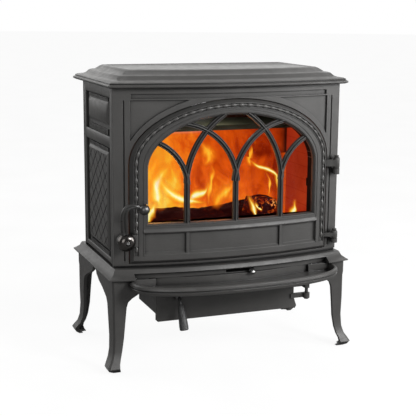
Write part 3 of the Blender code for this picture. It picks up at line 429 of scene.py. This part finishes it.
def moulding(bm, path, profile):
    """Sweep a (side, depth) profile along a flat path of (x, z) points and carry it to the bowed front."""
    rings = []
    for i, point in enumerate(path):
        before, after = around(path, i)
        along = (after - before).normalized()
        side = Vector((-along.y, along.x))
        rings.append([bowed(point.x + side.x * u, depth, point.y + side.y * u) for u, depth in profile])
    skin(bm, rings)


def level(half, z, count):
    """Straight path of (x, z) points from -half to half."""
    return [Vector((x * half / count, z)) for x in range(-count, count + 1)]


def arc(centre, radius, start, end, count=40):
    """Part of a circle, from start to end in degrees."""
    points = []
    for i in range(count + 1):
        angle = math.radians(start + (end - start) * i / count)
        points.append(Vector((centre[0] + radius * math.cos(angle), centre[1] + radius * math.sin(angle))))
    return points


def arch(half, rise, spring, bottom, count=60, stile=14):
    """Half ellipse on two upright stiles, from the right foot over the top to the left foot."""
    right = [Vector((half, bottom + (spring - bottom) * i / stile)) for i in range(stile)]
    head = [Vector((half * math.cos(math.pi * i / count), spring + rise * math.sin(math.pi * i / count)))
            for i in range(count + 1)]
    return right + head + [Vector((-p.x, p.y)) for p in reversed(right)]


def in_window(point, margin):
    """Is the point inside the window opening, by at least the margin? The sill is not looked at."""
    half, rise = WINDOW_HALF - margin, WINDOW_RISE - margin
    if point.y < WINDOW_SPRING:
        return abs(point.x) < half
    return (point.x / half) ** 2 + ((point.y - WINDOW_SPRING) / rise) ** 2 < 1.0


# ---------------------------------------------------------------- tracery
def build_tracery():
    """Ribs with a raised middle fillet between two coves, and the stepped rim that holds them."""
    w = 0.0064      # half width of a rib
    rib = [(-w, 0.0050), (-w, -0.0020), (-w + 0.0010, -0.0034), (-w + 0.0022, -0.0032), (-0.0030, -0.0016),
           (-0.0017, -0.0030), (-0.0013, -0.0068), (-0.0006, -0.0074), (0.0006, -0.0074), (0.0013, -0.0068),
           (0.0017, -0.0030), (0.0030, -0.0016), (w - 0.0022, -0.0032), (w - 0.0010, -0.0034), (w, -0.0020),
           (w, 0.0050)]
    bm = bmesh.new()
    for sign in (-1, 1):
        for centre, radius, start, end in (((-0.080, 0.435), 0.203, 3, 84), ((0.148, 0.435), 0.152, 176, 70),
                                           ((0.238, 0.433), 0.119, 176, 95)):
            path = [p for p in arc(centre, radius, start, end) if in_window(p, 0.001)]
            moulding(bm, [Vector((p.x * sign, p.y)) for p in path], rib)
    # (height, width) stations of a mullion, which spreads towards its foot
    flare = [(WINDOW_SILL + 0.0006, 1.32), (WINDOW_SILL + 0.006, 1.22), (WINDOW_SILL + 0.012, 1.0),
             (0.40, 1.0), (0.446, 1.0)]
    for x in (-MULLION_X, 0.0, MULLION_X):
        rings = [[bowed(x + u * k, d * (1.0 if k < 1.1 else 1.02), z) for u, d in rib] for z, k in flare]
        skin(bm, rings)
    rim = [(0.0000, 0.0058), (0.0000, -0.0078), (0.0012, -0.0078), (0.0022, -0.0052), (0.0034, -0.0048),
           (0.0044, -0.0020), (0.0056, -0.0016), (0.0056, 0.0058)]
    gap = 0.0004
    moulding(bm, arch(WINDOW_HALF - gap, WINDOW_RISE - gap, WINDOW_SPRING, WINDOW_SILL + gap), rim)
    moulding(bm, level(WINDOW_HALF - gap, WINDOW_SILL + gap, 20),
             [(0.0, 0.0058), (0.0, -0.0078), (0.0030, -0.0078), (0.0050, -0.0040), (0.0058, 0.0058)])
    obj = piece("window_tracery", bm, PAINT, "door", crease=FINE_CREASE)
    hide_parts("door_tracery")


def build_door_ornament():
    """Bead-and-reel strand round the door band, the fillets that edge it, and the moulding under the sill."""
    step, pitch = 0.00145, 0.0205
    bead_share = 0.66       # of each pitch; the two reels take the rest
    thread, bead, reel = 0.0012, 0.0026, 0.0010     # radius of the thread, and what each adds to it
    facets, floor = 8, -0.0068
    path = arch(0.2420, 0.1368, 0.4900, 0.285, 900, 200)
    length = 0.0
    spaced = [path[0]]
    for a, b in zip(path, path[1:]):
        length += (b - a).length
        if length >= step:
            spaced.append(b)
            length = 0.0
    bm = bmesh.new()
    rings, travelled = [], 0.0
    for i, point in enumerate(spaced):
        before, after = around(spaced, i)
        travelled += (point - before).length
        t = (travelled % pitch) / pitch
        if t < bead_share:
            radius = thread + bead * math.sqrt(max(0.0, 1.0 - (2.0 * t / bead_share - 1.0) ** 2))
        else:
            radius = thread + reel * abs(math.sin((t - bead_share) / (1.0 - bead_share) * math.pi * 2.0))
        along = (after - before).normalized()
        side = Vector((-along.y, along.x))
        ring = []
        for k in range(facets):
            angle = 2.0 * math.pi * k / facets
            u = side * radius * 1.15 * math.cos(angle)
            ring.append(bowed(point.x + u.x, floor + radius * math.sin(angle), point.y + u.y))
        rings.append(ring)
    skin(bm, rings)
    piece("door_bead_strand", bm, BEAD_PAINT_HIGHLIGHTED, "door")

    bm = bmesh.new()
    for half, rise, spring in ((0.2474, 0.1419, 0.4900), (0.2364, 0.1314, 0.4900), (0.2246, 0.1346, 0.4820)):
        line = arch(half, rise, spring, 0.275, 90, 20)
        moulding(bm, line, [(-0.0012, -0.0072), (-0.0008, -0.0089), (0.0008, -0.0089), (0.0012, -0.0072)])
    moulding(bm, level(0.2262, 0.3310, 24),
             [(0.0090, -0.0060), (0.0088, -0.0081), (0.0030, -0.0092), (0.0014, -0.0102),
              (0.0002, -0.0101), (-0.0006, -0.0092), (-0.0010, -0.0080), (-0.0014, -0.0060)])
    piece("door_mouldings", bm, PAINT, "door", crease=FINE_CREASE)


def build_reveal_lining():
    """Near-black lining of the deep window opening, between the tracery and the pane: painted shade over its
    sides and sill.
    """
    gap = 0.0003
    outline = arch(WINDOW_HALF - gap, WINDOW_RISE - gap, WINDOW_SPRING, WINDOW_SILL + gap)
    outline += level(WINDOW_HALF - gap, WINDOW_SILL + gap, 20)[-2:0:-1]
    rings = [[bowed(p.x, 0.0068, p.y) for p in outline], [Vector((p.x, PANE, p.y)) for p in outline]]
    bm = bmesh.new()
    skin(bm, rings, caps=False)
    piece("window_reveal_lining", bm, REVEAL_SHADE, "door", crease=FINE_CREASE)


# ---------------------------------------------------------------- handle
def lathe(bm, centre, profile, count=40):
    """Turned shape about an axis through centre along Y, from a profile of (offset along Y, radius)."""
    rings = []
    for offset, radius in profile:
        rings.append([centre + Vector((radius * math.cos(2 * math.pi * k / count), offset,
                                       radius * math.sin(2 * math.pi * k / count))) for k in range(count)])
    skin(bm, rings)


def smooth_path(points, steps):
    """Catmull-Rom curve through the points, each a vector of any size."""
    out = []
    ends = [points[0]] + points + [points[-1]]
    for a, b, c, d in zip(ends, ends[1:], ends[2:], ends[3:]):
        for i in range(steps):
            t = i / steps
            out.append(0.5 * ((2 * b) + (c - a) * t + (2 * a - 5 * b + 4 * c - d) * t * t
                              + (3 * b - a - 3 * c + d) * t ** 3))
    return out + [points[-1]]


def build_handle():
    """Domed hub, fluted gooseneck lever and ball knob."""
    bm = bmesh.new()
    lathe(bm, Vector((HANDLE.x, 0.0, HANDLE.z)),
          [(-0.1145, 0.0200), (-0.1158, 0.0216), (-0.1172, 0.0218), (-0.1182, 0.0211), (-0.1198, 0.0213),
           (-0.1224, 0.0208), (-0.1252, 0.0195), (-0.1280, 0.0172), (-0.1300, 0.0141), (-0.1314, 0.0106),
           (-0.1320, 0.0074), (-0.1318, 0.0060), (-0.1300, 0.0052), (-0.1288, 0.0048)])
    hub = piece("handle_hub", bm, NICKEL, "door_handle", crease=50)
    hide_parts("door_handle")

    # (x, y, z, radius) stations, x and z counted from the handle's axis
    spine = [Vector((-0.003, -0.1190, 0.012, 0.0086)), Vector((-0.006, -0.1215, 0.026, 0.0090)),
             Vector((-0.009, -0.1290, 0.042, 0.0090)), Vector((-0.012, -0.1370, 0.060, 0.0087)),
             Vector((-0.0115, -0.1420, 0.074, 0.0081)), Vector((-0.007, -0.1450, 0.0845, 0.0072)),
             Vector((0.002, -0.1475, 0.0895, 0.0062)), Vector((0.012, -0.1490, 0.0900, 0.0054)),
             Vector((0.0220, -0.1490, 0.0868, 0.0048))]
    fine = smooth_path(spine, 5)
    facets, flute_depth, flute_width, flatness = 36, 0.62, 0.42, 0.76
    bm = bmesh.new()
    rings = []
    for i, point in enumerate(fine):
        here = Vector((HANDLE.x + point[0], point[1], HANDLE.z + point[2]))
        before, after = around(fine, i)
        along = Vector((after[0] - before[0], after[1] - before[1], after[2] - before[2])).normalized()
        side = along.cross(Vector((0, 1, 0))).normalized()
        out = side.cross(along).normalized()
        # the flute along the front fades in over five rings and out before the last six
        flute = flute_depth * min(1.0, i / 5.0) * min(1.0, max(0.0, (len(fine) - 6 - i) / 5.0))
        ring = []
        for k in range(facets):
            angle = 2.0 * math.pi * k / facets
            spread = math.atan2(math.sin(angle + math.pi / 2), math.cos(angle + math.pi / 2))
            dip = 1.0 - flute * math.exp(-(spread / flute_width) ** 2)
            ring.append(here + (side * math.cos(angle) + out * math.sin(angle) * flatness) * point[3] * dip)
        rings.append(ring)
    skin(bm, rings)
    piece("handle_lever", bm, LEVER_PAINT_SHADED, "door_handle")

    facets, ball = 32, 0.0128
    bm = bmesh.new()
    centre = Vector((HANDLE.x + 0.0335, -0.1490, HANDLE.z + 0.0812))
    axis = Vector((0.915, 0.0, -0.404)).normalized()
    side = Vector((0, 1, 0))
    third = axis.cross(side)
    profile = [(-0.0136, 0.0046), (-0.0130, 0.0062), (-0.0118, 0.0064), (-0.0110, 0.0056)]
    for i in range(3, 16):
        angle = math.pi * i / 16
        profile.append((-ball * math.cos(angle), ball * math.sin(angle)))
    profile.append((0.0127, 0.0012))
    turns = [2 * math.pi * k / facets for k in range(facets)]
    rings = [[centre + axis * a + (side * math.cos(t) + third * math.sin(t)) * r for t in turns]
             for a, r in profile]
    skin(bm, rings)
    knob = piece("handle_ball", bm, SATIN, "door_handle")
    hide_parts("door_handle_knob")


# ---------------------------------------------------------------- fire
def log(name, start, end, radius, seed, material, rough=0.12, blocky=0.0):
    """Charred log with knotty sides, bark ridges along it and ragged ends; blocky squares its section."""
    start, end = Vector(start), Vector(end)
    along = (end - start).normalized()
    side = along.cross(Vector((0, 0, 1))).normalized()
    up = side.cross(along)
    shift = Vector((seed * 7.3, seed * 3.1, seed * 5.7))
    rings = []
    rows, count = 44, 40
    for i in range(rows + 1):
        t = i / rows
        ends = min(1.0, 0.35 + math.sqrt(min(t, 1.0 - t) * 14.0))
        centre = start.lerp(end, t) + (side * noise.noise(shift + Vector((t * 2.2, 0, 0)))
                                       + up * noise.noise(shift + Vector((0, t * 2.2, 4)))) * radius * 0.22
        ring = []
        for k in range(count):
            angle = 2.0 * math.pi * k / count
            c, s = math.cos(angle), math.sin(angle)
            square = 1.0 / max(abs(c), abs(s)) ** blocky
            spot = Vector((t * 3.0, c * 1.3, s * 1.3)) + shift
            lump = noise.noise(spot) * 0.16 + noise.noise(Vector((t * 4.0, angle * 3.2, 0)) + shift) * rough
            scale = abs(noise.noise(Vector((t * 22.0, angle * 4.5, 7)) + shift)) * rough * 0.8
            ring.append(centre + (side * c + up * s) * radius * ends * square * (0.92 + lump - scale))
        rings.append(ring)
    bm = bmesh.new()
    skin(bm, rings)
    return piece(name, bm, material, "body")


def ember_bed():
    """Heap of glowing lumps over the grate."""
    left, width, near, deep, ground = -0.235, 0.470, -0.030, 0.172, 0.2515
    bm = bmesh.new()
    columns, rows = 110, 40
    grid = []
    for j in range(rows + 1):
        line = []
        for i in range(columns + 1):
            u, v = i / columns, j / rows
            x, y = left + width * u, near + deep * v
            rim = min(1.0, min(u, 1 - u) * 9.0) * min(1.0, min(v, 1 - v) * 5.0)
            lumps = abs(noise.noise(Vector((x * 55, y * 55, 2)))) * 0.020
            lumps += noise.noise(Vector((x * 14, y * 14, 5))) * 0.016
            line.append(bm.verts.new((x, y, ground + rim * (0.026 + lumps))))
        grid.append(line)
    sheet(bm, grid)
    piece("ember_heap", bm, EMBERS, "body")


def blaze():
    """Two rippled curtains of burning gas behind the logs."""
    left, width, bottom, height = -0.240, 0.480, 0.285, 0.262
    columns, rows = 60, 24
    bm = bmesh.new()
    for depth, phase in ((0.118, 0.0), (0.100, 2.3)):
        grid = []
        for j in range(rows + 1):
            line = []
            for i in range(columns + 1):
                x = left + width * i / columns
                z = bottom + height * j / rows
                ripple = 0.010 * math.sin(x * 31 + phase + z * 9) + 0.006 * math.sin(z * 44 + phase)
                line.append(bm.verts.new((x, depth + ripple, z)))
            grid.append(line)
        sheet(bm, grid)
    piece("blaze_curtain", bm, BLAZE, "body")


def tongue(name, path, material, cup=0.006):
    """Tongue of flame: a cupped ribbon whose width follows the path's (x, y, z, width) stations."""
    fine = smooth_path([Vector(p) for p in path], 9)
    bm = bmesh.new()
    flow = bm.loops.layers.uv.new("flow")
    columns = 12
    rows, marks = [], {}
    for i, p in enumerate(fine):
        before, after = around(fine, i)
        along = Vector((after[0] - before[0], 0.0, after[2] - before[2])).normalized()
        side = Vector((along.z, 0.0, -along.x))
        line = []
        for k in range(columns + 1):
            t = k / columns
            back = cup * (2 * t - 1) ** 2 + 0.003 * math.sin(i * 0.55 + t * 5)
            ragged = 1.0 + 0.22 * noise.noise(Vector((i * 0.23, t * 1.5, p[0] * 40)))
            vert = bm.verts.new(Vector((p[0], p[1] + back, p[2])) + side * p[3] * ragged * (t - 0.5))
            marks[vert] = (t, i / (len(fine) - 1))
            line.append(vert)
        rows.append(line)
    for face in sheet(bm, rows):
        for loop in face.loops:
            loop[flow].uv = marks[loop.vert]
    piece(name, bm, material, "body")


def build_fire():
    """Three logs and a block of charcoal on the ember bed, with tongues of flame over them."""
    log("log_back", (-0.215, 0.092, 0.306), (0.150, 0.098, 0.312), 0.040, 1, CHAR)
    log("log_front", (-0.200, 0.030, 0.292), (0.105, 0.022, 0.300), 0.036, 2, CHAR)
    log("log_charcoal", (0.100, 0.022, 0.352), (0.186, 0.060, 0.330), 0.030, 3, CHAR_BLOCK, 0.05, 0.55)
    log("log_under", (0.060, 0.060, 0.285), (0.225, 0.030, 0.288), 0.027, 4, CHAR)
    ember_bed()
    blaze()
    tongue("flame_left_main", [(-0.120, 0.046, 0.350, 0.030), (-0.137, 0.046, 0.372, 0.048),
                               (-0.143, 0.046, 0.400, 0.050), (-0.137, 0.046, 0.428, 0.056),
                               (-0.118, 0.046, 0.452, 0.050), (-0.098, 0.046, 0.470, 0.022)], FLAME_HOT)
    tongue("flame_left_sweep", [(-0.010, 0.040, 0.362, 0.010), (-0.045, 0.040, 0.368, 0.024),
                                (-0.080, 0.040, 0.376, 0.034), (-0.112, 0.040, 0.396, 0.036),
                                (-0.134, 0.040, 0.424, 0.034), (-0.140, 0.040, 0.446, 0.018)], FLAME_HOT)
    tongue("flame_left_haze", [(-0.180, 0.062, 0.320, 0.060), (-0.172, 0.062, 0.370, 0.100),
                               (-0.165, 0.062, 0.420, 0.110), (-0.140, 0.062, 0.470, 0.090),
                               (-0.110, 0.062, 0.515, 0.050)], FLAME)
    tongue("flame_corner", [(-0.176, 0.020, 0.318, 0.026), (-0.172, 0.020, 0.342, 0.040),
                            (-0.160, 0.020, 0.362, 0.032), (-0.150, 0.020, 0.380, 0.014)], FLAME_HOT)
    tongue("flame_middle", [(-0.004, 0.050, 0.350, 0.020), (-0.001, 0.050, 0.380, 0.022),
                            (0.004, 0.050, 0.415, 0.020), (0.009, 0.050, 0.442, 0.022),
                            (-0.004, 0.050, 0.470, 0.008)], FLAME)
    tongue("flame_middle_wide", [(-0.070, 0.055, 0.345, 0.022), (-0.040, 0.055, 0.378, 0.034),
                                 (-0.008, 0.055, 0.390, 0.030), (0.004, 0.055, 0.420, 0.014)], FLAME_HOT)
    tongue("flame_middle_low", [(0.010, 0.052, 0.345, 0.040), (0.030, 0.052, 0.372, 0.050),
                                (0.060, 0.052, 0.398, 0.034), (0.066, 0.052, 0.420, 0.012)], FLAME)
    tongue("flame_wisp_high", [(-0.010, 0.080, 0.450, 0.020), (0.012, 0.080, 0.472, 0.052),
                               (-0.004, 0.080, 0.500, 0.044), (-0.018, 0.080, 0.520, 0.016)], FLAME)
    tongue("flame_wisp_right", [(0.128, 0.085, 0.440, 0.016), (0.124, 0.085, 0.462, 0.030),
                                (0.132, 0.085, 0.490, 0.022), (0.142, 0.085, 0.512, 0.010)], FLAME)
    tongue("flame_streak", [(0.102, 0.040, 0.470, 0.010), (0.128, 0.040, 0.450, 0.014),
                            (0.155, 0.040, 0.441, 0.016), (0.181, 0.040, 0.424, 0.014),
                            (0.186, 0.040, 0.388, 0.012), (0.190, 0.040, 0.350, 0.008)], FLAME_HOT, 0.003)
    tongue("flame_streak_low", [(0.160, 0.045, 0.365, 0.007), (0.166, 0.045, 0.392, 0.011),
                                (0.163, 0.045, 0.416, 0.010), (0.150, 0.045, 0.438, 0.007)], FLAME, 0.003)
    tongue("flame_front", [(0.114, -0.006, 0.312, 0.007), (0.104, -0.006, 0.336, 0.014),
                           (0.094, -0.006, 0.362, 0.022), (0.080, -0.006, 0.392, 0.010)], FLAME_HOT, 0.003)
    tongue("flame_front_fork", [(0.124, -0.004, 0.342, 0.006), (0.111, -0.004, 0.352, 0.012),
                                (0.101, -0.004, 0.368, 0.010)], FLAME_HOT, 0.003)
    tongue("flame_right_small", [(0.206, 0.010, 0.300, 0.030), (0.216, 0.010, 0.322, 0.032),
                                 (0.222, 0.010, 0.344, 0.022), (0.222, 0.010, 0.366, 0.008)], FLAME_HOT)


# ---------------------------------------------------------------- studio
def build_studio():
    """White sweep with softboxes, the light of the fire itself, and the photo's camera."""
    scene = bpy.context.scene
    scene.view_settings.view_transform = "Standard"
    scene.world = bpy.data.worlds.new("studio")
    sky = Shader("studio", scene.world)
    # what the camera sees is white, while what lights the stove is brightest from behind and from the right
    toward = sky.add("ShaderNodeSeparateXYZ", {"Vector": sky.place})
    power = sky.math("ADD", sky.scale(toward.outputs["Y"], 0.10, 0.75, 0.13, 1.35),
                     sky.scale(toward.outputs["X"], 0.30, 0.95, 0.0, 0.30))
    power = sky.math("ADD", power, sky.scale(toward.outputs["Z"], 0.35, 0.95, 0.0, 0.12))
    lit = sky.add("ShaderNodeBackground", {"Color": (1.0, 0.995, 0.985, 1.0), "Strength": power})
    seen = sky.add("ShaderNodeBackground", {"Color": (1.0, 1.0, 1.0, 1.0), "Strength": 1.0})
    direct = sky.add("ShaderNodeLightPath").outputs["Is Camera Ray"]
    sky.finish(sky.mix(direct, lit.outputs[0], seen.outputs[0]))

    reach, sides, ground = 30, 48, -0.0005
    bm = bmesh.new()
    turns = [2 * math.pi * k / sides for k in range(sides)]
    bm.faces.new([bm.verts.new((reach * math.cos(t), reach * math.sin(t), ground)) for t in turns])
    mesh = bpy.data.meshes.new("studio_floor")
    bm.to_mesh(mesh)
    bm.free()
    mesh.materials.append(floor_material())
    floor = bpy.data.objects.new("studio_floor", mesh)
    scene.collection.objects.link(floor)

    def softbox(name, place, target, size, power):
        data = bpy.data.lights.new(name, "AREA")
        data.shape = "RECTANGLE"
        data.size, data.size_y = size
        data.energy = power
        lamp = bpy.data.objects.new(name, data)
        scene.collection.objects.link(lamp)
        lamp.location = place
        lamp.rotation_euler = (Vector(target) - Vector(place)).to_track_quat("-Z", "Y").to_euler()

    softbox("softbox_key", (1.3, -2.4, 1.6), (0.0, 0.0, 0.42), (0.8, 0.8), 52.0)
    softbox("softbox_right", (2.2, -1.5, 1.1), (0.1, 0.0, 0.40), (0.9, 1.5), 34.0)
    softbox("softbox_fill", (-1.6, -2.4, 1.0), (0.0, 0.0, 0.35), (1.4, 1.4), 14.0)
    softbox("softbox_left", (-2.2, 1.0, 1.4), (-0.2, 0.0, 0.4), (1.4, 1.4), 10.0)

    def glow(name, place, power, colour, radius=0.035):
        data = bpy.data.lights.new(name, "POINT")
        data.energy = power
        data.color = colour
        data.shadow_soft_size = radius
        lamp = bpy.data.objects.new(name, data)
        lamp.visible_camera = False
        scene.collection.objects.link(lamp)
        lamp.location = place

    glow("fire_light_left", (-0.150, 0.045, 0.430), 0.55, (1.0, 0.42, 0.09))
    glow("fire_light_middle", (0.020, 0.055, 0.430), 0.35, (1.0, 0.27, 0.035))
    glow("crown_light", (0.0, 0.000, 0.622), 0.16, (1.0, 0.98, 0.80), 0.02)

    azimuth, pitch, roll = (math.radians(a) for a in (21.08, 11.32, 0.464))
    level_look = Vector((math.sin(azimuth), math.cos(azimuth), 0.0))
    look = level_look * math.cos(pitch) - Vector((0.0, 0.0, math.sin(pitch)))
    right = Vector((math.cos(azimuth), -math.sin(azimuth), 0.0))
    up = right.cross(look)
    right, up = right * math.cos(roll) + up * math.sin(roll), up * math.cos(roll) - right * math.sin(roll)
    data = bpy.data.cameras.new("camera")
    data.lens = 87.96
    data.sensor_width = 36.0
    camera = bpy.data.objects.new("camera", data)
    scene.collection.objects.link(camera)
    place = Matrix((right, up, -look)).transposed().to_4x4()
    place.translation = (-0.9200, -2.3264, 0.8564)
    camera.matrix_world = place
    scene.camera = camera


build_tracery()
build_door_ornament()
build_reveal_lining()
build_handle()
build_fire()
build_studio()
